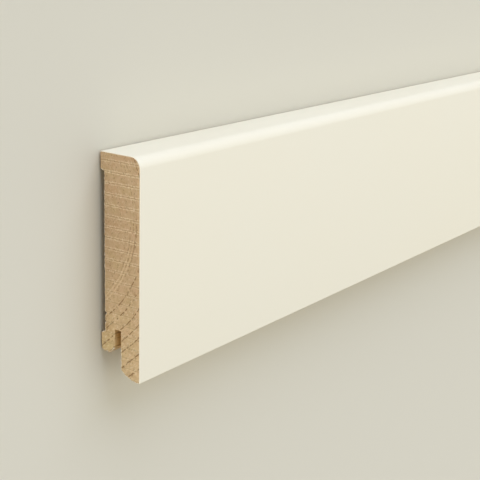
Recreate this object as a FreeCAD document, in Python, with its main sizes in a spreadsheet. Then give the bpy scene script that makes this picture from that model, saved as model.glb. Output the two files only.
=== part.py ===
# Skirting board: one length of solid hardwood, planed square and run through a moulder.
#
# The board lies on its back, as it does in the store.
# X runs along the length, Y from the floor edge (-Y) to the rounded top edge (+Y),
# and Z from the wall side (Z = 0) to the painted face. All sizes are in millimetres.
import FreeCAD
import Part
import math
import os

import Sketcher

# Driving dimensions, one row of the sheet each

DIMENSIONS = (
    ("board_length", 2400, "stock length between the two sawn ends"),
    ("board_height", 80, "floor to top edge, as fitted"),
    ("board_thickness", 18, "wall plane to painted face"),
    ("nose_radius", 4, "round between the painted face and the top edge"),
    ("top_pad_height", 5.9, "strip at the top of the back that touches the wall"),
    ("relief_depth", 1.8, "hollow in the back, so that the board sits flat on a rough wall"),
    ("relief_flare", 0.9, "slope of each side of the hollow, over its depth"),
    ("lip_pad_height", 6.55, "strip on the back of the lip that touches the wall"),
    ("lip_clearance", 8.5, "floor to the underside of the lip"),
    ("lip_radius", 1.5, "round on the lower back edge of the lip"),
    ("foot_thickness", 8.6, "front leg that reaches the floor"),
    ("groove_width", 2.9, "slot between the lip and the foot for the wall clips"),
    ("groove_depth", 9.0, "slot depth above the underside of the lip"),
    ("mouth_chamfer", 2.2, "lead-in on the lip side of the slot"),
    ("foot_flat", 1.0, "sole of the foot, at its front edge"),
    ("heel_height", 3.2, "how far the round heel rises at the back of the foot"),
    ("sole_arris_radius", 0.4, "eased edge between the sole and the painted face"),
    ("back_arris_radius", 0.8, "eased edge between the top edge and the back"),
)

doc = FreeCAD.newDocument("skirting_board_length")
sizes = doc.addObject("Spreadsheet::Sheet", "sizes")
sizes.set("A1", "Dimension")
sizes.set("B1", "Millimetres")
sizes.set("C1", "What it is")
for row, (alias, millimetres, meaning) in enumerate(DIMENSIONS, start=2):
    sizes.set(f"A{row}", alias)
    sizes.set(f"B{row}", str(millimetres))
    sizes.setAlias(f"B{row}", alias)
    sizes.set(f"C{row}", meaning)
doc.recompute()

# Places on the section: heights above the floor, and depths from the wall plane

FLOOR = "0"
LIP_UNDERSIDE = "sizes.lip_clearance"
LIP_TOP = "sizes.lip_clearance + sizes.lip_pad_height"
GROOVE_TOP = "sizes.lip_clearance + sizes.groove_depth"
TOP_PAD_FOOT = "sizes.board_height - sizes.top_pad_height"
TOP_EDGE = "sizes.board_height"

WALL = "0"
RELIEF_FLOOR = "sizes.relief_depth"
LIP_FRONT = "sizes.board_thickness - sizes.foot_thickness - sizes.groove_width"
FOOT_BACK = "sizes.board_thickness - sizes.foot_thickness"
SOLE_BACK = "sizes.board_thickness - sizes.foot_flat"
FACE = "sizes.board_thickness"

# How a sketch numbers the two ends of a line, its own origin and its two axes

START, END = 1, 2
ORIGIN = (-1, START)
HEIGHT_AXIS, DEPTH_AXIS = -1, -2

SAME_PLACE = 1e-6


def value(expression):
    """Work out an expression on the sheet, in millimetres."""
    return float(sizes.evalExpression(expression))


def section_sketch(name):
    """Start a sketch across the board, with its origin where the wall meets the floor.

    Its x is the height above the floor and its y the depth from the wall plane.
    """
    sketch = board.newObject("Sketcher::SketchObject", name)
    sketch.AttachmentSupport = [(cross_plane, "")]
    sketch.MapMode = "FlatFace"
    sketch.setExpression("AttachmentOffset.Base.x", "-sizes.board_height / 2")
    return sketch


def dimension_point(sketch, line, end, direction, expression):
    """Tie one end of a line to the sketch's origin by an expression on the sheet."""
    distance = value(expression)
    if distance == 0:
        axis = DEPTH_AXIS if direction == "DistanceX" else HEIGHT_AXIS
        sketch.addConstraint(Sketcher.Constraint("PointOnObject", line, end, axis))
        return
    number = sketch.addConstraint(Sketcher.Constraint(direction, *ORIGIN, line, end, distance))
    sketch.setExpression(f"Constraints[{number}]", expression)


def draw_outline(sketch, corners):
    """Draw a closed outline whose corners are pairs of expressions: height, depth.

    A side between two corners of one height, or of one depth, is held to that direction.
    Every other corner gets its own dimension.
    """
    count = len(corners)
    places = [FreeCAD.Vector(value(height), value(depth), 0) for height, depth in corners]
    for index, place in enumerate(places):
        sketch.addGeometry(Part.LineSegment(place, places[(index + 1) % count]), False)
    for index in range(count):
        following = (index + 1) % count
        sketch.addConstraint(Sketcher.Constraint("Coincident", index, END, following, START))
    directions = (("DistanceX", "Vertical"), ("DistanceY", "Horizontal"))
    for part, (direction, alignment) in enumerate(directions):
        for index, corner in enumerate(corners):
            follows_side = index > 0 and corner[part] == corners[index - 1][part]
            closes_side = index == count - 1 and corner[part] == corners[0][part]
            if follows_side:
                sketch.addConstraint(Sketcher.Constraint(alignment, index - 1))
            if closes_side:
                sketch.addConstraint(Sketcher.Constraint(alignment, index))
            if not follows_side and not closes_side:
                dimension_point(sketch, index, START, direction, corner[part])


def draw_heel(sketch):
    """Draw what the round heel takes off: an arc from the sole up to the foot's back."""
    sole_end = FreeCAD.Vector(value(FLOOR), value(SOLE_BACK), 0)
    square_corner = FreeCAD.Vector(value(FLOOR), value(FOOT_BACK), 0)
    heel_top = FreeCAD.Vector(value("sizes.heel_height"), value(FOOT_BACK), 0)
    width = sole_end.y - heel_top.y
    radius = (width**2 + heel_top.x**2) / (2 * heel_top.x)
    turn = math.atan2(width, radius - heel_top.x)
    circle = Part.Circle(
        FreeCAD.Vector(radius, sole_end.y, 0), FreeCAD.Vector(0, 0, 1), radius
    )
    sole = sketch.addGeometry(Part.LineSegment(sole_end, square_corner), False)
    back = sketch.addGeometry(Part.LineSegment(square_corner, heel_top), False)
    arc = sketch.addGeometry(Part.ArcOfCircle(circle, math.pi, math.pi + turn), False)
    sketch.addConstraint(Sketcher.Constraint("Coincident", sole, END, back, START))
    sketch.addConstraint(Sketcher.Constraint("Coincident", back, END, arc, END))
    sketch.addConstraint(Sketcher.Constraint("Tangent", sole, START, arc, START))
    sketch.addConstraint(Sketcher.Constraint("Vertical", sole))
    sketch.addConstraint(Sketcher.Constraint("Horizontal", back))
    dimension_point(sketch, sole, START, "DistanceX", FLOOR)
    dimension_point(sketch, sole, START, "DistanceY", SOLE_BACK)
    dimension_point(sketch, back, START, "DistanceY", FOOT_BACK)
    dimension_point(sketch, back, END, "DistanceX", "sizes.heel_height")


def cut_along_board(name, sketch):
    """Run a cutter of the sketch's shape along the whole board."""
    volume_before = board.Tip.Shape.Volume
    pocket = board.newObject("PartDesign::Pocket", name)
    pocket.Profile = sketch
    pocket.Type = "ThroughAll"
    pocket.Midplane = True
    doc.recompute()
    if pocket.Shape.Volume >= volume_before:
        raise RuntimeError(f"{name} cut nothing")


def long_edge(feature, height, depth):
    """Name the edge that runs along the board at a height and depth of its section."""
    across = value(height) - value("sizes.board_height") / 2
    above = value(depth)
    for number, edge in enumerate(feature.Shape.Edges, start=1):
        centre = edge.CenterOfMass
        runs_along = edge.BoundBox.XLength > value("sizes.board_length") / 2
        in_place = math.hypot(centre.y - across, centre.z - above) < SAME_PLACE
        if runs_along and in_place:
            return f"Edge{number}"
    raise RuntimeError(f"no long edge at {height}, {depth}")


def dress_edge(kind, name, measure, alias, height, depth):
    """Round or chamfer the long edge at a height and depth of the section."""
    base = board.Tip
    dress = board.newObject(f"PartDesign::{kind}", name)
    dress.Base = (base, [long_edge(base, height, depth)])
    dress.setExpression(measure, f"sizes.{alias}")
    doc.recompute()


board = doc.addObject("PartDesign::Body", "Board")
board.Label = "skirting_board"
board.Placement = FreeCAD.Placement(FreeCAD.Vector(0, 0, 0), FreeCAD.Rotation())
cross_plane = next(plane for plane in board.Origin.OriginFeatures if plane.Role == "YZ_Plane")

# The planed bar

blank_section = section_sketch("BlankSection")
draw_outline(
    blank_section,
    [(FLOOR, WALL), (TOP_EDGE, WALL), (TOP_EDGE, FACE), (FLOOR, FACE)],
)
blank = board.newObject("PartDesign::Pad", "Blank")
blank.Profile = blank_section
blank.Midplane = True
blank.setExpression("Length", "sizes.board_length")
doc.recompute()

# The shallow hollow in the back, which leaves one pad at the top and one on the lip

relief_section = section_sketch("BackReliefSection")
draw_outline(
    relief_section,
    [
        (LIP_TOP, WALL),
        (TOP_PAD_FOOT, WALL),
        (f"{TOP_PAD_FOOT} - sizes.relief_flare", RELIEF_FLOOR),
        (f"{LIP_TOP} + sizes.relief_flare", RELIEF_FLOOR),
    ],
)
cut_along_board("BackRelief", relief_section)

# The space under the lip, where the foot of a wall clip lies

rebate_section = section_sketch("FootRebateSection")
draw_outline(
    rebate_section,
    [(FLOOR, WALL), (LIP_UNDERSIDE, WALL), (LIP_UNDERSIDE, FOOT_BACK), (FLOOR, FOOT_BACK)],
)
cut_along_board("FootRebate", rebate_section)

# The slot that drops over the clips, level with the back of the foot

groove_section = section_sketch("ClipGrooveSection")
draw_outline(
    groove_section,
    [
        (LIP_UNDERSIDE, LIP_FRONT),
        (GROOVE_TOP, LIP_FRONT),
        (GROOVE_TOP, FOOT_BACK),
        (LIP_UNDERSIDE, FOOT_BACK),
    ],
)
cut_along_board("ClipGroove", groove_section)

# The round heel of the foot, over which the board tips into place

heel_section = section_sketch("HeelSection")
draw_heel(heel_section)
cut_along_board("Heel", heel_section)

# The worked edges

dress_edge("Chamfer", "GrooveMouth", "Size", "mouth_chamfer", LIP_UNDERSIDE, LIP_FRONT)
dress_edge("Fillet", "LipRound", "Radius", "lip_radius", LIP_UNDERSIDE, WALL)
dress_edge("Fillet", "Nose", "Radius", "nose_radius", TOP_EDGE, FACE)
dress_edge("Fillet", "SoleArris", "Radius", "sole_arris_radius", FLOOR, FACE)
dress_edge("Fillet", "BackArris", "Radius", "back_arris_radius", TOP_EDGE, WALL)

# Every object has to be sound before the STEP file is written

for item in doc.Objects:
    if "Invalid" in item.State or "Error" in item.State:
        raise RuntimeError(f"{item.Name} failed: {item.State}")
for sketch in doc.findObjects("Sketcher::SketchObject"):
    if sketch.solve() != 0 or not sketch.FullyConstrained:
        raise RuntimeError(f"{sketch.Name} isn't fully constrained")
if board.Shape.isNull() or not board.Shape.isValid():
    raise RuntimeError("the board's shape isn't valid")

os.makedirs("parts", exist_ok=True)
board.Shape.exportStep(f"parts/{board.Label}.step")
print(f"{board.Label}: {board.Shape.Volume / 1000:.1f} cm3, box {board.Shape.BoundBox}")
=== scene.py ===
"""A length of skirting board: solid oak, moulded in one pass, lacquered satin white on its face and
top, and sawn square at both ends. It lies on its back on a studio floor, in the CAD model's frame:
X along the length, Y up the board's height, Z out of the lacquered face, all in metres."""
import math
import random

import bmesh
import bpy
from mathutils import Matrix, Vector
from mathutils.kdtree import KDTree


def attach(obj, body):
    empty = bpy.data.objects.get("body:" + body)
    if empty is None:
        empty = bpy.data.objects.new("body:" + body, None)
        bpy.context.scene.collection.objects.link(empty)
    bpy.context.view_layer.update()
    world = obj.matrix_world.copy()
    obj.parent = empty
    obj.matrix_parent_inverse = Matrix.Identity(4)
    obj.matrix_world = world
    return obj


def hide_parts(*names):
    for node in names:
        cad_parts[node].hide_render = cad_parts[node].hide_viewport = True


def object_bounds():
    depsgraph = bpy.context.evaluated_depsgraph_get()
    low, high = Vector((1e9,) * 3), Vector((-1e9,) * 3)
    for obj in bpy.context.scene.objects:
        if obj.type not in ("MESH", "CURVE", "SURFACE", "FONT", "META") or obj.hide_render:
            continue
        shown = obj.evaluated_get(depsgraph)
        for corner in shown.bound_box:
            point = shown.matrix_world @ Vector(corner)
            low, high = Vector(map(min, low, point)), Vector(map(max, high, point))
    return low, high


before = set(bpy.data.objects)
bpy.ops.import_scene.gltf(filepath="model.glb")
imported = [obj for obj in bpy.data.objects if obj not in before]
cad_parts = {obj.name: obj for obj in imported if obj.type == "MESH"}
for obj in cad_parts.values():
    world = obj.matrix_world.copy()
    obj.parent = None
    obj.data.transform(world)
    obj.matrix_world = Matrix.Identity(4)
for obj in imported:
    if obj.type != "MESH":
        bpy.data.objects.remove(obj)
cad_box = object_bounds()

# The camera, off the sawn end, above the board's top edge and in front of its face. It stands
# 0.45 m from the end with a long lens, which keeps the two long edges only slightly converging.
CAMERA_PLACE = (-1.46507, 0.11547, 0.25275)
CAMERA_TURN = (math.radians(16.1759), math.radians(53.8777), math.radians(-1.6865))

camera_data = bpy.data.cameras.new("camera")
camera_data.sensor_width = 36
camera_data.lens = 82.587
camera_data.clip_start = 0.01
camera = bpy.data.objects.new("camera", camera_data)
bpy.context.scene.collection.objects.link(camera)
camera.matrix_world = (
    Matrix.Translation(CAMERA_PLACE)
    @ Matrix.Rotation(-CAMERA_TURN[1], 4, "Y")
    @ Matrix.Rotation(-CAMERA_TURN[0], 4, "X")
    @ Matrix.Rotation(-CAMERA_TURN[2], 4, "Z")
)
bpy.context.scene.camera = camera
bpy.context.scene.view_settings.view_transform = "Standard"


# The studio: a matt painted floor under weak light from all round. Two broad lamps in front light
# the face, a cooler one above brightens the top edge, and a level one lights the sawn end.
def linear(code):
    """Turns an sRGB hex colour into the linear one that shaders and lamps take."""
    parts = [int(code[i : i + 2], 16) / 255 for i in (0, 2, 4)]
    return [p / 12.92 if p <= 0.04045 else ((p + 0.055) / 1.055) ** 2.4 for p in parts] + [1.0]


def wire(tree, kind, feeds=None, **settings):
    """Adds a node. Each feed is a number, a colour, a socket or a node, for one of its inputs."""
    made = tree.nodes.new(kind)
    for name, value in settings.items():
        setattr(made, name, value)
    for place, value in (feeds or {}).items():
        if isinstance(value, bpy.types.Node):
            value = value.outputs[0]
        if isinstance(value, bpy.types.NodeSocket):
            tree.links.new(value, made.inputs[place])
        else:
            made.inputs[place].default_value = value
    return made


def fresh_material(name):
    """Starts a material with an empty node tree."""
    made = bpy.data.materials.new(name)
    made.use_nodes = True
    made.node_tree.nodes.clear()
    return made


SKY_STRENGTH = 0.2

room = bpy.data.worlds.new("studio")
bpy.context.scene.world = room
room.use_nodes = True
sky = room.node_tree
sky.nodes.clear()
ray = wire(sky, "ShaderNodeLightPath")
seen = wire(
    sky,
    "ShaderNodeMath",
    {0: ray.outputs["Is Camera Ray"], 1: ray.outputs["Is Glossy Ray"]},
    operation="MAXIMUM",
)
light_from_all_round = wire(
    sky, "ShaderNodeBackground", {"Color": linear("FFFFFF"), "Strength": SKY_STRENGTH}
)
pale_surround = wire(sky, "ShaderNodeBackground", {"Color": linear("DAD7CA"), "Strength": 1.0})
chosen = wire(sky, "ShaderNodeMixShader", {0: seen, 1: light_from_all_round, 2: pale_surround})
wire(sky, "ShaderNodeOutputWorld", {"Surface": chosen})


def soft_lamp(name, towards, spread, strength, colour):
    """Hangs a lamp so far off that it lights the whole length alike, and wide enough to be soft."""
    data = bpy.data.lights.new(name, "SUN")
    data.angle = math.radians(spread)
    data.energy = strength
    data.color = linear(colour)[:3]
    lamp = bpy.data.objects.new(name, data)
    bpy.context.scene.collection.objects.link(lamp)
    lamp.matrix_world = Vector(towards).to_track_quat("Z", "Y").to_matrix().to_4x4()


soft_lamp("side_lamp", (0.45, -0.2, 0.87), 90, 1.1, "FFFBEF")
soft_lamp("front_lamp", (-0.05, -0.12, 0.99), 70, 0.64, "FFFBEF")
soft_lamp("top_lamp", (0.1, 0.89, 0.42), 60, 2.28, "E5ECFF")
soft_lamp("end_lamp", (-0.97, 0.25, 0.05), 16, 1.22, "FFFBF5")

# A board this long never lies dead flat, so at its ends a thin dark gap is left under the pads.
GAP_UNDER_PADS = 0.0004
FLOOR_WIDTH = 24

bpy.ops.object.select_all(action="DESELECT")
bpy.ops.mesh.primitive_plane_add(size=FLOOR_WIDTH, location=(0, 0, -GAP_UNDER_PADS))
floor = bpy.context.object
floor.name = "studio_floor"
floor_paint = fresh_material("matt_floor_paint")
paint = wire(
    floor_paint.node_tree,
    "ShaderNodeBsdfPrincipled",
    {"Base Color": linear("D5D2C4"), "Roughness": 0.9},
)
wire(floor_paint.node_tree, "ShaderNodeOutputMaterial", {"Surface": paint})
floor.data.materials.append(floor_paint)


# The board's section, as the moulder cuts it from an 18 x 80 mm blank of oak: a rounded nose, a
# relieved back that leaves two pads for the wall, a lip with a clip slot behind it, and a foot
# whose heel is rounded back so that only the front of its sole meets the floor.
MM = 0.001
LENGTH, HEIGHT, THICKNESS = 2.4, 80.0, 18.0
NEAR, FAR = -LENGTH / 2, LENGTH / 2
NOSE_RADIUS = 4.0
RELIEF_DEPTH, RELIEF_TOP, RELIEF_FOOT, RELIEF_FLARE = 1.8, 74.1, 15.05, 0.9
LIP_UNDERSIDE, LIP_RADIUS = 8.5, 1.5
SLOT_BACK, SLOT_FRONT, SLOT_TOP, SLOT_MOUTH = 6.5, 9.4, 17.5, 2.2
SOLE_HEEL, HEEL_HEIGHT = 17.0, 3.2
SOLE_ARRIS, BACK_ARRIS = 0.4, 0.8
FINEST = 1e-7


def place(height, depth):
    """The near end's point at this height above the sole and depth out from the wall, in mm."""
    return Vector((NEAR, (height - HEIGHT / 2) * MM, depth * MM))


def section_of(point):
    """The height and depth of a point, in mm: the way back from place."""
    return point.y / MM + HEIGHT / 2, point.z / MM


bpy.ops.object.select_all(action="DESELECT")
bpy.ops.mesh.primitive_plane_add(
    size=1, location=place(HEIGHT / 2, THICKNESS / 2), rotation=(0, math.pi / 2, 0)
)
board = bpy.context.object
board.name = "oak_skirting_board"
board.scale = (THICKNESS * MM, HEIGHT * MM, 1)
bpy.ops.object.transform_apply(location=True, rotation=True, scale=True)
bpy.ops.object.mode_set(mode="EDIT")


def pick(kind, wanted):
    """Selects the board's faces, edges or vertices that wanted says yes to, and nothing else."""
    bpy.ops.mesh.select_mode(type=kind)
    bpy.ops.mesh.select_all(action="DESELECT")
    mesh = bmesh.from_edit_mesh(board.data)
    mesh.normal_update()
    found = {"FACE": mesh.faces, "EDGE": mesh.edges, "VERT": mesh.verts}[kind]
    chosen_ones = [one for one in found if wanted(one)]
    for one in chosen_ones:
        one.select_set(True)
    mesh.select_flush_mode()
    bmesh.update_edit_mesh(board.data)
    return len(chosen_ones)


def scribe(start, end, waste=False):
    """Cuts the selected faces along the line between two points of the section. With waste, what
    lies to the right of that line falls away."""
    run = (place(*end) - place(*start)).normalized()
    outward = Vector((0, run.z, -run.y))
    bpy.ops.mesh.bisect(
        plane_co=place(*start), plane_no=outward, clear_outer=waste, threshold=FINEST
    )


flared_top = RELIEF_TOP - RELIEF_FLARE
flared_foot = RELIEF_FOOT + RELIEF_FLARE
mouth_top = LIP_UNDERSIDE + SLOT_MOUTH
for start, end in (
    ((0, RELIEF_DEPTH), (HEIGHT, RELIEF_DEPTH)),
    ((RELIEF_TOP, 0), (flared_top, RELIEF_DEPTH)),
    ((RELIEF_FOOT, 0), (flared_foot, RELIEF_DEPTH)),
    ((LIP_UNDERSIDE, 0), (LIP_UNDERSIDE, THICKNESS)),
    ((LIP_UNDERSIDE, SLOT_BACK - SLOT_MOUTH), (mouth_top, SLOT_BACK)),
    ((0, SLOT_BACK), (HEIGHT, SLOT_BACK)),
    ((0, SLOT_FRONT), (HEIGHT, SLOT_FRONT)),
    ((SLOT_TOP, 0), (SLOT_TOP, THICKNESS)),
):
    bpy.ops.mesh.select_all(action="SELECT")
    scribe(start, end)


def cut_away(face):
    """Whether the moulder takes this part of the blank: relief, rebate, slot or slot's mouth."""
    height, depth = section_of(face.calc_center_median())
    flare = RELIEF_FLARE * depth / RELIEF_DEPTH
    relief = depth < RELIEF_DEPTH and RELIEF_FOOT + flare < height < RELIEF_TOP - flare
    rebate = height < LIP_UNDERSIDE and depth < SLOT_FRONT
    slot = height < SLOT_TOP and SLOT_BACK < depth < SLOT_FRONT
    mouth = depth < SLOT_BACK and 0 < height - LIP_UNDERSIDE < depth - (SLOT_BACK - SLOT_MOUTH)
    return relief or rebate or slot or mouth


pick("FACE", cut_away)
bpy.ops.mesh.delete(type="FACE")

# The heel is an arc that leaves the sole without a corner and ends on the foot's inner wall.
heel_run = SOLE_HEEL - SLOT_FRONT
heel_radius = (heel_run**2 + HEEL_HEIGHT**2) / (2 * HEEL_HEIGHT)
heel_sweep = math.atan2(heel_run, heel_radius - HEEL_HEIGHT)
HEEL_STEPS = 14
heel_points = [
    (
        heel_radius * (1 - math.cos(heel_sweep * step / HEEL_STEPS)),
        SOLE_HEEL - heel_radius * math.sin(heel_sweep * step / HEEL_STEPS),
    )
    for step in range(HEEL_STEPS + 1)
]


def in_the_foot(face):
    """Whether a face of the section is part of the foot, below the lip."""
    height, depth = section_of(face.calc_center_median())
    return height < LIP_UNDERSIDE and depth > SLOT_FRONT


for start, end in zip(heel_points, heel_points[1:]):
    pick("FACE", in_the_foot)
    scribe(start, end, waste=True)

bpy.ops.mesh.select_all(action="SELECT")
bpy.ops.mesh.dissolve_limited(angle_limit=0.001)

for height, depth, radius, steps in (
    (HEIGHT, THICKNESS, NOSE_RADIUS, 16),
    (LIP_UNDERSIDE, 0, LIP_RADIUS, 8),
    (0, THICKNESS, SOLE_ARRIS, 5),
    (HEIGHT, 0, BACK_ARRIS, 6),
):
    corner = place(height, depth)
    pick("VERT", lambda vertex: (vertex.co - corner).length < 0.01 * MM)
    bpy.ops.mesh.bevel(
        offset_type="OFFSET", offset=radius * MM, segments=steps, profile=0.5, affect="VERTICES"
    )


def lacquered(height, depth):
    """Whether the spray reaches this point of the section: face, nose, top edge and sole arris."""
    on_face = depth > THICKNESS - 0.3
    on_top = height > HEIGHT - 0.35
    on_nose = (
        math.hypot(height - (HEIGHT - NOSE_RADIUS), depth - (THICKNESS - NOSE_RADIUS))
        > NOSE_RADIUS - 0.35
        and height > HEIGHT - NOSE_RADIUS
        and depth > THICKNESS - NOSE_RADIUS
    )
    return on_face or on_top or on_nose


def bare(edge):
    """Whether an edge of the section is left without lacquer."""
    ends = [section_of(vertex.co) for vertex in edge.verts]
    return not lacquered(*[(a + b) / 2 for a, b in zip(*ends)])


# Bare edges get a point about every half millimetre, so that the saw can tear them later.
FIBRE_PITCH = 0.5 * MM
while True:
    edges = bmesh.from_edit_mesh(board.data).edges
    longest = max(edge.calc_length() for edge in edges if bare(edge))
    if longest < 1.5 * FIBRE_PITCH:
        break
    pick("EDGE", lambda edge: bare(edge) and abs(edge.calc_length() - longest) < FINEST)
    bpy.ops.mesh.subdivide(number_cuts=round(longest / FIBRE_PITCH) - 1)
    pick("FACE", lambda face: True)
    bpy.ops.mesh.dissolve_faces()

# The section is run to its length, and both ends are cut square.
bpy.ops.mesh.select_all(action="SELECT")
bpy.ops.mesh.extrude_region_move(TRANSFORM_OT_translate={"value": (LENGTH, 0, 0)})
bpy.ops.mesh.select_all(action="SELECT")
bpy.ops.mesh.normals_make_consistent(inside=False)

# The film of lacquer is 0.15 mm thick and shows at each end as a white line round the wood. It is
# drawn 0.25 mm wide so that it shows. On bare edges the saw frays a strip of the same width, and it
# frays the long faces for 0.3 mm back from the cut.
FILM = 0.25 * MM
TORN_ZONE = 0.3 * MM
pick("FACE", lambda face: abs(face.normal.x) > 0.99)
bpy.ops.mesh.inset(thickness=FILM, use_boundary=True, use_even_offset=True)
for back_from_cut in (TORN_ZONE, 1.0 * MM, 2.5 * MM):
    for end, inwards in ((NEAR, 1), (FAR, -1)):
        bpy.ops.mesh.select_all(action="SELECT")
        bpy.ops.mesh.bisect(
            plane_co=(end + inwards * back_from_cut, 0, 0), plane_no=(1, 0, 0), threshold=FINEST
        )
bpy.ops.object.mode_set(mode="OBJECT")

# The map that the finishes are baked through: a strip with the long faces unrolled, whose last
# 3 mm at each end are stretched, and the two sawn ends below it at twelve times the strip's scale.
END_ZONE = 3 * MM


def from_cut(point):
    """How far a point is from the nearer of the two sawn ends."""
    return min(point.x - NEAR, FAR - point.x)


def along_the_strip(point):
    """How far across the map a point of the long faces lies."""
    zone = from_cut(point)
    if zone < END_ZONE:
        share = 0.01 + 0.04 * zone / END_ZONE
    else:
        share = 0.05 + 0.45 * (zone - END_ZONE) / (LENGTH / 2 - END_ZONE)
    return share if point.x < 0 else 1 - share


def put_in_order(elements, where):
    """Numbers points, edges or faces afresh by their place."""
    rank = {one: number for number, one in enumerate(sorted(elements, key=where))}
    elements.sort(key=lambda one: rank[one])
    elements.index_update()


mesh = bmesh.new()
mesh.from_mesh(board.data)
# The cuts above number the points differently from run to run. In order of place, the tears that
# are drawn by number later fall alike each time.
put_in_order(mesh.verts, lambda v: (round(v.co.x, 5), round(v.co.y, 6), round(v.co.z, 6)))
put_in_order(mesh.edges, lambda e: sorted(v.index for v in e.verts))
put_in_order(mesh.faces, lambda f: sorted(v.index for v in f.verts))
laid_out = mesh.loops.layers.uv.new("OFBake")
long_edges = {e for e in mesh.edges if abs(e.verts[0].co.x - e.verts[1].co.x) > LENGTH / 2}
edge = first_edge = min(long_edges, key=lambda e: e.index)
face = max(edge.link_faces, key=lambda f: f.index)
girth, walked = [], 0.0
while not girth or edge != first_edge:
    here = edge.verts[0].co.yz
    girth.append((here, walked))
    edge = next(e for e in face.edges if e in long_edges and e != edge)
    face = next(f for f in edge.link_faces if f != face)
    walked += (edge.verts[0].co.yz - here).length
chart = KDTree(len(girth))
for number, (here, _) in enumerate(girth):
    chart.insert((0, *here), number)
chart.balance()


def walked_to(point):
    """How far round the section the nearest long edge is."""
    return girth[chart.find((0, point.y, point.z))[1]][1]


AROUND_SLOT = 0.3


def in_the_slot(point):
    """Whether a point is at the clip slot, whose edges the saw leaves clean."""
    height, depth = section_of(point)
    at_its_height = mouth_top < height < SLOT_TOP + AROUND_SLOT
    return at_its_height and SLOT_BACK - AROUND_SLOT < depth < SLOT_FRONT + AROUND_SLOT


# The finishes, by their place among the board's materials.
LACQUER, PLANED, SAWN, TORN, CUT_FILM_AND_HIGHLIGHT = range(5)
for face in mesh.faces:
    middle = face.calc_center_median()
    sprayed = lacquered(*section_of(middle))
    if abs(face.normal.x) > 0.99:
        whole = face.calc_area() > 1e-4 or in_the_slot(middle)
        face.material_index = SAWN if whole else CUT_FILM_AND_HIGHLIGHT if sprayed else TORN
        shelf = 0.02 if middle.x < 0 else 0.21
        for corner in face.loops:
            height, depth = section_of(corner.vert.co)
            corner[laid_out].uv = (0.02 + 0.96 * height / HEIGHT, shelf + 0.17 * depth / THICKNESS)
    else:
        # Lacquered faces within 0.3 mm of a cut take the whiter film edge, which is a painted
        # highlight along the cut arris.
        frayed = from_cut(middle) < TORN_ZONE
        ragged = frayed and not in_the_slot(middle)
        face.material_index = (
            (CUT_FILM_AND_HIGHLIGHT if frayed else LACQUER) if sprayed else (TORN if ragged else PLANED)
        )
        runs = [walked_to(corner.vert.co) for corner in face.loops]
        across_the_join = max(runs) - min(runs) > walked / 2
        for corner, run in zip(face.loops, runs):
            if across_the_join and run < walked / 2:
                run += walked
            corner[laid_out].uv = (along_the_strip(corner.vert.co), 0.42 + 0.56 * run / walked)
mesh.to_mesh(board.data)
mesh.free()


# The sawn ends: the saw frays the bare arris, chips the lacquer's edge a little, and leaves two
# nicks in the back of the near end, where the relief's edge broke out.
HAIR = 0.001 * MM  # wider than the rounding of lengths over a metre


def on_cut_outline(vertex):
    """Whether a vertex is on the outline of one of the two sawn ends."""
    sides = [face for face in vertex.link_faces if abs(face.normal.x) < 0.5]
    return from_cut(vertex.co) < HAIR and bool(sides)


SUNK_AT_CUT, TORN_AT_CUT = 0.10 * MM, 0.24 * MM
SUNK_BEHIND, TORN_BEHIND = 0.03 * MM, 0.04 * MM
FILM_CHIPPED = 0.05 * MM

bpy.ops.object.mode_set(mode="EDIT")
pick(
    "VERT",
    lambda v: on_cut_outline(v) and not lacquered(*section_of(v.co)) and not in_the_slot(v.co),
)
bpy.ops.transform.shrink_fatten(value=-SUNK_AT_CUT)
bpy.ops.transform.vertex_random(offset=TORN_AT_CUT, seed=3)
pick(
    "VERT",
    lambda v: abs(from_cut(v.co) - TORN_ZONE) < HAIR and not lacquered(*section_of(v.co)),
)
bpy.ops.transform.shrink_fatten(value=-SUNK_BEHIND)
bpy.ops.transform.vertex_random(offset=TORN_BEHIND, seed=4)
pick("VERT", lambda v: on_cut_outline(v) and lacquered(*section_of(v.co)))
bpy.ops.transform.shrink_fatten(value=-FILM_CHIPPED)

# On the two pads the back arris breaks out, which leaves a thin dark gap against the wall.
for back_from_cut, sink in ((0, 0.28), (TORN_ZONE, 0.14)):
    pick(
        "VERT",
        lambda v: abs(from_cut(v.co) - back_from_cut) < 0.2 * MM
        and section_of(v.co)[1] < 0.2,
    )
    bpy.ops.transform.translate(value=(0, 0, sink * MM))

for height, reach, sink in ((22.4, 0.55, 0.45), (19.4, 0.45, 0.4)):
    nick = place(height, RELIEF_DEPTH)
    if pick("VERT", lambda v: (v.co - nick).length < reach * MM):
        bpy.ops.transform.translate(value=(0.25 * MM, 0, sink * MM))
bpy.ops.object.mode_set(mode="OBJECT")
bpy.ops.object.shade_smooth_by_angle(angle=math.radians(30))


# Torn fibres stand up along the bare edges of both sawn ends: slivers of oak under a millimetre
# long, still joined to the board. One is whittled and the rest are copies of it.
bpy.ops.object.select_all(action="DESELECT")
bpy.ops.mesh.primitive_cone_add(vertices=5, radius1=0.18 * MM, radius2=0.04 * MM, depth=1 * MM)
sliver = bpy.context.object
sliver.name = "sliver"
bpy.ops.object.mode_set(mode="EDIT")
bpy.ops.mesh.select_all(action="SELECT")
bpy.ops.transform.translate(value=(0, 0, 0.4 * MM))
for up in (0.2, 0.5):
    bpy.ops.mesh.select_all(action="SELECT")
    bpy.ops.mesh.bisect(plane_co=(0, 0, up * MM), plane_no=(0, 0, 1), threshold=FINEST)
sliver_mesh = bmesh.from_edit_mesh(sliver.data)
for height, lean in ((0.5, 0.05), (0.9, 0.22)):
    bpy.ops.mesh.select_all(action="DESELECT")
    for vertex in sliver_mesh.verts:
        vertex.select_set(abs(vertex.co.z - height * MM) < 0.02 * MM)
    sliver_mesh.select_flush_mode()
    bmesh.update_edit_mesh(sliver.data)
    bpy.ops.transform.translate(value=(lean * MM, 0, 0))
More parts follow.
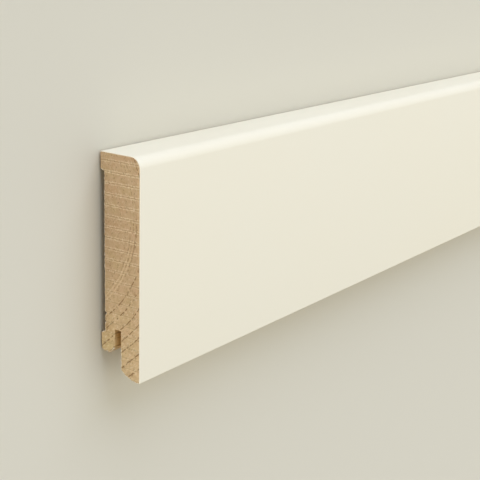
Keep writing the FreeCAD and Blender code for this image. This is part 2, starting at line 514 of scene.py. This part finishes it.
bpy.ops.mesh.select_all(action="SELECT")
bpy.ops.mesh.normals_make_consistent(inside=False)
bpy.ops.object.mode_set(mode="OBJECT")
sliver_map = sliver.data.uv_layers[0]
sliver_map.name = "OFBake"
for corner in sliver.data.loops:
    spot = sliver.data.vertices[corner.vertex_index].co
    sliver_map.data[corner.index].uv = (0.02 + 0.9 * (spot.z / MM + 0.1), 0.395 + 0.1 * spot.x / MM)

SLIVERS_AT_EACH_END = 200
hand = random.Random(11)
board_mesh = bmesh.new()
board_mesh.from_mesh(board.data)
sites = []
for edge in board_mesh.edges:
    middle = (edge.verts[0].co + edge.verts[1].co) / 2
    sides = [face for face in edge.link_faces if abs(face.normal.x) < 0.5]
    near_the_cut = from_cut(middle) < 0.25 * MM
    if near_the_cut and len(sides) == 1 and not lacquered(*section_of(middle)):
        height, depth = section_of(middle)
        fluffy = height < RELIEF_FOOT and depth < SLOT_FRONT + 0.5
        if not in_the_slot(middle):
            sites += [(middle, sides[0].normal.copy())] * (3 if fluffy else 1)
board_mesh.free()
slivers = []
for end, inwards in ((NEAR, 1), (FAR, -1)):
    at_this_end = [site for site in sites if abs(site[0].x - end) < 1 * MM]
    for number in range(SLIVERS_AT_EACH_END):
        root, outward = hand.choice(at_this_end)
        along = outward.cross(Vector((1, 0, 0)))
        grain = Vector((inwards * hand.uniform(0.1, 1.4), 0, 0))
        pointing = (outward * 0.8 + along * hand.gauss(0, 0.45) + grain).normalized()
        size = hand.uniform(0.35, 0.9)
        turned = pointing.to_track_quat("Z", "X").to_matrix().to_4x4()
        rolled = Matrix.Rotation(hand.uniform(0, math.tau), 4, "Z")
        tip = root + pointing * size * MM
        if any(not cad_box[0][i] < tip[i] < cad_box[1][i] for i in range(3)):
            continue
        torn = sliver.copy()
        torn.data = sliver.data.copy()
        inside = root + Vector((inwards * 0.05 * MM, 0, 0)) - outward * 0.05 * MM
        torn.data.transform(
            Matrix.Translation(inside) @ turned @ rolled @ Matrix.Diagonal((size, size, size, 1))
        )
        bpy.context.scene.collection.objects.link(torn)
        slivers.append(torn)
bpy.data.objects.remove(sliver)


# The lacquer: a warm white satin furniture lacquer, sprayed and dried in a tunnel. The eye gets an
# even colour with a soft sheen, the faint dimpling that spray leaves, and a whiter line where the
# saw has just cut the film. That line is partly the film's own white cut edge and partly a painted
# highlight along the cut arris.
satin_lacquer = fresh_material("satin_spray_lacquer")
coat = satin_lacquer.node_tree
spot = wire(coat, "ShaderNodeTexCoord").outputs["Object"]
DIMPLE = 1.6 * MM  # real orange peel is 0.5 to 2 mm across
dimples = wire(coat, "ShaderNodeTexNoise", {"Vector": spot, "Scale": 1 / DIMPLE, "Detail": 1.5})
SAG = 60 * MM  # slow waves from the passes of the spray head
waves = wire(coat, "ShaderNodeTexNoise", {"Vector": spot, "Scale": 1 / SAG, "Detail": 2.0})
colour = wire(
    coat,
    "ShaderNodeMix",
    {0: waves, 6: linear("EAE5D2"), 7: linear("EBE7D6")},
    data_type="RGBA",
)
sheen = wire(coat, "ShaderNodeMapRange", {0: waves, 1: 0.3, 2: 0.7, 3: 0.48, 4: 0.56})
peel = wire(
    coat, "ShaderNodeBump", {"Height": dimples, "Strength": 0.35, "Distance": 0.02 * MM}
)
shell = wire(
    coat,
    "ShaderNodeBsdfPrincipled",
    {"Base Color": colour.outputs[2], "Roughness": sheen, "IOR": 1.5, "Normal": peel},
)
wire(coat, "ShaderNodeOutputMaterial", {"Surface": shell})

# The sawn edge of the film is whiter than the lacquer. This is partly the film's own cut edge and
# partly a painted highlight along the cut arris.
cut_film_and_highlight = fresh_material("sawn_film_edge_and_painted_highlight")
edge_tree = cut_film_and_highlight.node_tree
spot = wire(edge_tree, "ShaderNodeTexCoord").outputs["Object"]
CHIP = 0.5 * MM
chips_and_glints = wire(edge_tree, "ShaderNodeTexNoise", {"Vector": spot, "Scale": 1 / CHIP, "Detail": 2.0})
colour = wire(
    edge_tree,
    "ShaderNodeMix",
    {0: chips_and_glints, 6: linear("EFE6CE"), 7: linear("FBF5E4")},
    data_type="RGBA",
)
shell = wire(
    edge_tree,
    "ShaderNodeBsdfPrincipled",
    {"Base Color": colour.outputs[2], "Roughness": 0.55, "IOR": 1.5},
)
wire(edge_tree, "ShaderNodeOutputMaterial", {"Surface": shell})


# The oak: a pale, straight board sawn from well outside the pith, so its rings cross the section
# as shallow arcs, nearly upright at the top, and run straight and slanting below. Its ring pores
# are a row of dark dashes on the sawn end and long dark flecks along the planed back.
PITH = (NEAR, 18.2 * MM, -26 * MM)
PITH_DRIFT = (0.0, math.radians(0.16), math.radians(-0.1))
RING_RADII = (
    *(28.9, 32.0, 35.1, 38.2, 40.0, 41.2, 42.4, 46.5),
    *(49.6, 53.4, 56.8, 59.9, 64.2, 68.2, 72.0),
)
WIDEST_RADIUS, MOST_RINGS = 80, 18
# Rings are about 3.8 mm apart, but 1.2 mm in the few poor years round this radius.
POOR_YEARS, POOR_GROWTH, GOOD_GROWTH = 41.2, 1.2, 3.8
STRAIGHT_FROM = math.radians(-48)
# Pores are stretched 25 times along the grain, and stand in short rows along the rings: an arc of
# 45 mm radius is squeezed to 0.42 of its length.
PORE_STRETCH, PORE_ARC = 0.04, 0.42 * 45


def grow_oak(tree):
    """Lays out the rings round the pith, in mm. Gives the spot, the spot in mm from the pith, the
    same along and around the rings, its radius, how far it is from a ring line in rings, the line
    of early pores, and single pores."""
    spot = wire(tree, "ShaderNodeTexCoord").outputs["Object"]
    from_pith = wire(tree, "ShaderNodeVectorMath", {0: spot, 1: PITH}, operation="SUBTRACT")
    grown = wire(
        tree,
        "ShaderNodeMapping",
        {"Vector": from_pith, "Rotation": PITH_DRIFT, "Scale": (1000, 1000, 1000)},
    )
    slow = wire(tree, "ShaderNodeVectorMath", {0: grown, 1: (0.02, 1, 1)}, operation="MULTIPLY")
    wander = wire(tree, "ShaderNodeTexNoise", {"Vector": slow, "Scale": 1 / 9, "Detail": 3.0})
    swing = wire(
        tree,
        "ShaderNodeVectorMath",
        {0: wander.outputs["Color"], 1: (0, 1.2, 1.2), 2: (0, -0.6, -0.6)},
        operation="MULTIPLY_ADD",
    )
    across = wire(
        tree,
        "ShaderNodeVectorMath",
        {0: grown, 1: (0, 1, 1), 2: swing},
        operation="MULTIPLY_ADD",
    )
    apart = wire(tree, "ShaderNodeSeparateXYZ", {0: grown})
    turn = wire(
        tree, "ShaderNodeMath", {0: apart.outputs["Y"], 1: apart.outputs["Z"]}, operation="ARCTAN2"
    )
    held = wire(tree, "ShaderNodeMath", {0: turn, 1: STRAIGHT_FROM}, operation="MAXIMUM")
    rise = wire(tree, "ShaderNodeMath", {0: held}, operation="SINE")
    reach = wire(tree, "ShaderNodeMath", {0: held}, operation="COSINE")
    outward = wire(tree, "ShaderNodeCombineXYZ", {"Y": rise, "Z": reach})
    radius = wire(
        tree, "ShaderNodeVectorMath", {0: across, 1: outward}, operation="DOT_PRODUCT"
    ).outputs["Value"]
    share = wire(tree, "ShaderNodeMath", {0: radius, 1: 1 / WIDEST_RADIUS}, operation="MULTIPLY")
    growth = wire(tree, "ShaderNodeFloatCurve", {"Value": share})
    years = growth.mapping.curves[0].points
    years[0].location = (0, 0)
    years[1].location = (1, 1)
    for number, ring_radius in enumerate(RING_RADII):
        years.new(ring_radius / WIDEST_RADIUS, (number + 1) / MOST_RINGS)
    for year in years:
        year.handle_type = "VECTOR"
    growth.mapping.update()
    age = wire(tree, "ShaderNodeMath", {0: growth, 1: MOST_RINGS}, operation="MULTIPLY")
    from_line = wire(tree, "ShaderNodeMath", {0: age, 1: 0.5}, operation="PINGPONG")
    poor = wire(tree, "ShaderNodeMath", {0: radius, 1: POOR_YEARS}, operation="SUBTRACT")
    off_poor = wire(tree, "ShaderNodeMath", {0: poor}, operation="ABSOLUTE")
    spacing = wire(
        tree,
        "ShaderNodeMapRange",
        {0: off_poor, 1: POOR_GROWTH, 2: 2 * POOR_GROWTH, 3: POOR_GROWTH, 4: GOOD_GROWTH},
    )
    off_ring = wire(tree, "ShaderNodeMath", {0: from_line, 1: spacing}, operation="MULTIPLY")
    ring = wire(
        tree,
        "ShaderNodeMapRange",
        {0: off_ring, 1: 0.1, 2: 0.28, 3: 1.0, 4: 0.0},
        interpolation_type="SMOOTHSTEP",
    )
    around = wire(tree, "ShaderNodeMath", {0: turn, 1: PORE_ARC}, operation="MULTIPLY")
    lengthways = wire(
        tree, "ShaderNodeMath", {0: apart.outputs["X"], 1: PORE_STRETCH}, operation="MULTIPLY"
    )
    fibre = wire(tree, "ShaderNodeCombineXYZ", {"X": lengthways, "Y": around, "Z": radius})
    pores = wire(tree, "ShaderNodeTexVoronoi", {"Vector": fibre, "Scale": 1.7, "Randomness": 1.0})
    pore = wire(
        tree,
        "ShaderNodeMapRange",
        {0: pores.outputs["Distance"], 1: 0.16, 2: 0.36, 3: 1.0, 4: 0.0},
        interpolation_type="SMOOTHSTEP",
    )
    return spot, grown, fibre, radius, from_line, ring, pore


sawn_oak = fresh_material("sawn_end_grain_of_oak")
end_grain = sawn_oak.node_tree
spot, grown, fibre, radius, from_line, ring, pore = grow_oak(end_grain)
apart = wire(end_grain, "ShaderNodeSeparateXYZ", {0: spot})
up_board, off_wall = apart.outputs["Y"], apart.outputs["Z"]

# The saw leaves a pair of pale scores every 3.84 mm, rising 1 degree towards the face. Each is a
# row of torn crumbs rather than a line.
SCORE_PITCH = 3.84 * MM
SCORE_RISE = math.tan(math.radians(1))
lifted = wire(
    end_grain,
    "ShaderNodeMath",
    {0: off_wall, 1: -SCORE_RISE, 2: up_board},
    operation="MULTIPLY_ADD",
)
shaky = wire(end_grain, "ShaderNodeTexNoise", {"Vector": grown, "Scale": 0.7, "Detail": 3.0})
shake = wire(
    end_grain,
    "ShaderNodeMath",
    {0: shaky, 1: 0.7 * MM, 2: (8.8 + 10 * SCORE_RISE - 0.35) * MM},
    operation="MULTIPLY_ADD",
)
strokes = wire(end_grain, "ShaderNodeMath", {0: lifted, 1: shake}, operation="ADD")
beat = wire(
    end_grain, "ShaderNodeMath", {0: strokes, 1: 1 / SCORE_PITCH}, operation="MULTIPLY"
)
from_score = wire(end_grain, "ShaderNodeMath", {0: beat, 1: 0.5}, operation="PINGPONG")
off_pair = wire(end_grain, "ShaderNodeMath", {0: from_score, 1: 0.1}, operation="SUBTRACT")
off_line = wire(end_grain, "ShaderNodeMath", {0: off_pair}, operation="ABSOLUTE")
score = wire(
    end_grain,
    "ShaderNodeMapRange",
    {0: off_line, 1: 0.01, 2: 0.075, 3: 1.0, 4: 0.0},
    interpolation_type="SMOOTHSTEP",
)
stretched = wire(
    end_grain, "ShaderNodeVectorMath", {0: grown, 1: (1, 1.3, 0.8)}, operation="MULTIPLY"
)
skipping = wire(
    end_grain, "ShaderNodeTexNoise", {"Vector": stretched, "Scale": 1.15, "Detail": 3.0}
)
skip = wire(end_grain, "ShaderNodeMapRange", {0: skipping, 1: 0.4, 2: 0.6, 3: 0.35, 4: 1.0})
SCORES_FADE = (-22 * MM, 10 * MM)
upper = wire(
    end_grain,
    "ShaderNodeMapRange",
    {0: up_board, 1: SCORES_FADE[0], 2: SCORES_FADE[1], 3: 0.15, 4: 1.0},
)
pressing = wire(end_grain, "ShaderNodeTexNoise", {"Vector": grown, "Scale": 0.23, "Detail": 1.0})
pressed = wire(end_grain, "ShaderNodeMapRange", {0: pressing, 1: 0.35, 2: 0.6, 3: 0.6, 4: 1.0})
kept_scores = wire(end_grain, "ShaderNodeMath", {0: score, 1: skip}, operation="MULTIPLY")
deep_scores = wire(end_grain, "ShaderNodeMath", {0: kept_scores, 1: pressed}, operation="MULTIPLY")
scores = wire(end_grain, "ShaderNodeMath", {0: deep_scores, 1: upper}, operation="MULTIPLY")
between_pair = wire(
    end_grain,
    "ShaderNodeMapRange",
    {0: from_score, 1: 0.02, 2: 0.06, 3: 0.3, 4: 0.0},
    interpolation_type="SMOOTHSTEP",
)

tone = wire(
    end_grain,
    "ShaderNodeMapRange",
    {0: up_board, 1: -32 * MM, 2: 4 * MM, 3: 0.0, 4: 1.0},
    interpolation_type="SMOOTHSTEP",
)
patch = wire(end_grain, "ShaderNodeTexNoise", {"Vector": grown, "Scale": 0.16, "Detail": 2.0})
rosy = wire(end_grain, "ShaderNodeMapRange", {0: patch, 1: 0.5, 2: 0.75, 3: 0.0, 4: 0.45})
straw = wire(end_grain, "ShaderNodeMapRange", {0: patch, 1: 0.28, 2: 0.5, 3: 0.4, 4: 0.0})
# Low down and towards the wall, over the lip, the end grain turns darker and yellower. This is
# partly the oak's own straw tone and partly painted shade for the shadows round the lip.
wall_side_straw_and_shade = wire(end_grain, "ShaderNodeMapRange", {0: off_wall, 1: 4 * MM, 2: 12 * MM, 3: 0.5, 4: 0.0})
lip_straw_and_painted_shade = wire(
    end_grain, "ShaderNodeMath", {0: wall_side_straw_and_shade, 1: tone}, operation="SUBTRACT", use_clamp=True
)
blotch = wire(end_grain, "ShaderNodeTexNoise", {"Vector": grown, "Scale": 0.6, "Detail": 5.0})
blotches = wire(end_grain, "ShaderNodeMapRange", {0: blotch, 1: 0.4, 2: 0.7, 3: 0.0, 4: 0.5})
# A strip beside the lacquer on the face stays pale, where the wet coat has soaked in.
soaked = wire(
    end_grain, "ShaderNodeMapRange", {0: off_wall, 1: 16.2 * MM, 2: 17.4 * MM, 3: 0.0, 4: 0.4}
)
# Ring lines are drawn 0.4 mm wide, about twice the real row of pores, so that they show. Those
# near the pith are faint, and the poor years show only halfway up, where the saw cut them clean.
# The outer ones are nearly unbroken.
ring_depth = wire(end_grain, "ShaderNodeMapRange", {0: radius, 1: 38.5, 2: 46, 3: 0.15, 4: 0.85})
HALFWAY_UP = 9 * MM
over_halfway = wire(
    end_grain, "ShaderNodeMath", {0: up_board, 1: HALFWAY_UP}, operation="SUBTRACT"
)
off_halfway = wire(end_grain, "ShaderNodeMath", {0: over_halfway}, operation="ABSOLUTE")
clean_cut = wire(
    end_grain, "ShaderNodeMapRange", {0: off_halfway, 1: 8 * MM, 2: 12 * MM, 3: 1.0, 4: 0.15}
)
outer = wire(end_grain, "ShaderNodeMapRange", {0: radius, 1: 43, 2: 45, 3: 0.0, 4: 1.0})
shown = wire(end_grain, "ShaderNodeMath", {0: clean_cut, 1: outer}, operation="MAXIMUM")
shown_depth = wire(end_grain, "ShaderNodeMath", {0: ring_depth, 1: shown}, operation="MULTIPLY")
# Lower down, the poor years show as fine pale lines, because their late wood is thin there.
off_poor = wire(end_grain, "ShaderNodeMath", {0: radius, 1: POOR_YEARS}, operation="SUBTRACT")
near_poor = wire(end_grain, "ShaderNodeMath", {0: off_poor}, operation="ABSOLUTE")
poor_band = wire(end_grain, "ShaderNodeMapRange", {0: near_poor, 1: 1.3, 2: 2.2, 3: 0.4, 4: 0.0})
late_wood = wire(end_grain, "ShaderNodeMapRange", {0: from_line, 1: 0.2, 2: 0.42, 3: 0.0, 4: 1.0})
fine_lines = wire(
    end_grain, "ShaderNodeMath", {0: poor_band, 1: late_wood}, operation="MULTIPLY"
)
lower_half = wire(
    end_grain, "ShaderNodeMapRange", {0: up_board, 1: -2 * MM, 2: 12 * MM, 3: 1.0, 4: 0.15}
)
pale_years = wire(
    end_grain, "ShaderNodeMath", {0: fine_lines, 1: lower_half}, operation="MULTIPLY"
)
breaks = wire(end_grain, "ShaderNodeTexNoise", {"Vector": grown, "Scale": 0.6, "Detail": 5.0})
gap_level = wire(end_grain, "ShaderNodeMapRange", {0: radius, 1: 44, 2: 58, 3: 0.51, 4: 0.45})
above_gap = wire(end_grain, "ShaderNodeMath", {0: breaks, 1: gap_level}, operation="SUBTRACT")
dashes = wire(end_grain, "ShaderNodeMapRange", {0: above_gap, 1: -0.04, 2: 0.04, 3: 0.0, 4: 1.0})
ring_dashes = wire(end_grain, "ShaderNodeMath", {0: ring, 1: dashes}, operation="MULTIPLY")
ring_marks = wire(
    end_grain, "ShaderNodeMath", {0: ring_dashes, 1: shown_depth}, operation="MULTIPLY"
)
# Single pores crowd beside each ring line and thin out towards the next.
crowd = wire(end_grain, "ShaderNodeMapRange", {0: from_line, 1: 0.08, 2: 0.4, 3: 0.6, 4: 0.2})
pore_marks = wire(end_grain, "ShaderNodeMath", {0: pore, 1: crowd}, operation="MULTIPLY")
crumbs = wire(end_grain, "ShaderNodeTexVoronoi", {"Vector": fibre, "Scale": 1.6})
crumb = wire(
    end_grain,
    "ShaderNodeMapRange",
    {0: crumbs.outputs["Distance"], 1: 0.14, 2: 0.38, 3: 1.0, 4: 0.0},
    interpolation_type="SMOOTHSTEP",
)
lying = wire(end_grain, "ShaderNodeMapRange", {0: from_score, 1: 0.1, 2: 0.3, 3: 0.5, 4: 0.22})
lower = wire(end_grain, "ShaderNodeMapRange", {0: up_board, 1: -20 * MM, 2: 0, 3: 0.45, 4: 0.0})
crumb_share = wire(end_grain, "ShaderNodeMath", {0: lying, 1: lower}, operation="MAXIMUM")
crumb_marks = wire(end_grain, "ShaderNodeMath", {0: crumb, 1: crumb_share}, operation="MULTIPLY")
# The colours are laid over the pale wood of the foot one by one, each by its own share.
wood = linear("E3C79C")
for share, colour in (
    (tone, "CDAF8A"),
    (rosy, "CFA37E"),
    (straw, "CDB581"),
    (lip_straw_and_painted_shade, "D3BD84"),
    (blotches, "B9966A"),
    (soaked, "E2BF92"),
    (pale_years, "F0D9AE"),
    (between_pair, "A07E55"),
    (scores, "EAD6AF"),
    (crumb_marks, "F2E2C2"),
    (ring_marks, "8A6232"),
    (pore_marks, "8A693F"),
):
    layered = wire(
        end_grain, "ShaderNodeMix", {0: share, 6: wood, 7: linear(colour)}, data_type="RGBA"
    )
    wood = layered.outputs[2]
fuzz = wire(end_grain, "ShaderNodeTexNoise", {"Vector": grown, "Scale": 2.2, "Detail": 3.0})
raised = wire(
    end_grain, "ShaderNodeMath", {0: scores, 1: 0.6, 2: fuzz}, operation="MULTIPLY_ADD"
)
sunk = wire(end_grain, "ShaderNodeMath", {0: ring_marks, 1: 0.5}, operation="MULTIPLY")
relief = wire(end_grain, "ShaderNodeMath", {0: raised, 1: sunk}, operation="SUBTRACT")
rough = wire(
    end_grain, "ShaderNodeBump", {"Height": relief, "Strength": 0.6, "Distance": 0.15 * MM}
)
shell = wire(
    end_grain,
    "ShaderNodeBsdfPrincipled",
    {"Base Color": wood, "Roughness": 0.88, "IOR": 1.5, "Normal": rough},
)
wire(end_grain, "ShaderNodeOutputMaterial", {"Surface": shell})

# Back, groove and sole are the same oak, left bare by the planing knives: a shade yellower, with
# darker streaks, ring lines and flecks that run along the board.
planed_oak = fresh_material("planed_bare_oak")
long_grain = planed_oak.node_tree
_, grown, _, _, _, ring, pore = grow_oak(long_grain)
streaky = wire(
    long_grain, "ShaderNodeVectorMath", {0: grown, 1: (0.012, 1, 1)}, operation="MULTIPLY"
)
streak = wire(long_grain, "ShaderNodeTexNoise", {"Vector": streaky, "Scale": 0.5, "Detail": 5.0})
streaks = wire(long_grain, "ShaderNodeMapRange", {0: streak, 1: 0.3, 2: 0.7, 3: 0.0, 4: 1.0})
wood = wire(
    long_grain,
    "ShaderNodeMix",
    {0: streaks, 6: linear("F0D39A"), 7: linear("E2BE80")},
    data_type="RGBA",
)
ring_marks = wire(long_grain, "ShaderNodeMath", {0: ring, 1: 0.55}, operation="MULTIPLY")
ringed = wire(
    long_grain,
    "ShaderNodeMix",
    {0: ring_marks, 6: wood.outputs[2], 7: linear("AE8A58")},
    data_type="RGBA",
)
pore_marks = wire(long_grain, "ShaderNodeMath", {0: pore, 1: 0.5}, operation="MULTIPLY")
flecked = wire(
    long_grain,
    "ShaderNodeMix",
    {0: pore_marks, 6: ringed.outputs[2], 7: linear("8A6A42")},
    data_type="RGBA",
)
# The planing knives leave a ripple every 1.5 mm along the board.
KNIFE_MARK = 1.5
along = wire(long_grain, "ShaderNodeSeparateXYZ", {0: grown}).outputs["X"]
turn = wire(
    long_grain, "ShaderNodeMath", {0: along, 1: math.tau / KNIFE_MARK}, operation="MULTIPLY"
)
ripple = wire(long_grain, "ShaderNodeMath", {0: turn}, operation="SINE")
hollow = wire(
    long_grain, "ShaderNodeMath", {0: pore, 1: -1.2, 2: ripple}, operation="MULTIPLY_ADD"
)
worked = wire(
    long_grain, "ShaderNodeBump", {"Height": hollow, "Strength": 0.35, "Distance": 0.02 * MM}
)
shell = wire(
    long_grain,
    "ShaderNodeBsdfPrincipled",
    {"Base Color": flecked.outputs[2], "Roughness": 0.66, "IOR": 1.5, "Normal": worked},
)
wire(long_grain, "ShaderNodeOutputMaterial", {"Surface": shell})

# Torn fibres are dry bare oak that scatters the light, from straw to nearly white.
torn_oak = fresh_material("torn_oak_fibres")
torn_tree = torn_oak.node_tree
spot = wire(torn_tree, "ShaderNodeTexCoord").outputs["Object"]
FIBRE_TONE = 0.6 * MM
tones = wire(torn_tree, "ShaderNodeTexNoise", {"Vector": spot, "Scale": 1 / FIBRE_TONE})
contrast = wire(torn_tree, "ShaderNodeMapRange", {0: tones, 1: 0.4, 2: 0.6, 3: 0.0, 4: 1.0})
colour = wire(
    torn_tree,
    "ShaderNodeMix",
    {0: contrast, 6: linear("CDB184"), 7: linear("FFF8E8")},
    data_type="RGBA",
)
shell = wire(
    torn_tree,
    "ShaderNodeBsdfPrincipled",
    {"Base Color": colour.outputs[2], "Roughness": 0.92, "IOR": 1.5},
)
wire(torn_tree, "ShaderNodeOutputMaterial", {"Surface": shell})

for finish in (satin_lacquer, planed_oak, sawn_oak, torn_oak, cut_film_and_highlight):
    board.data.materials.append(finish)
for torn in slivers:
    torn.data.materials.append(torn_oak)
bpy.ops.object.select_all(action="DESELECT")
for torn in slivers:
    torn.select_set(True)
board.select_set(True)
bpy.context.view_layer.objects.active = board
bpy.ops.object.join()
for vertex in board.data.vertices:
    vertex.co = [min(max(c, low), high) for c, low, high in zip(vertex.co, *cad_box)]
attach(board, "root")
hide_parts("skirting_board")
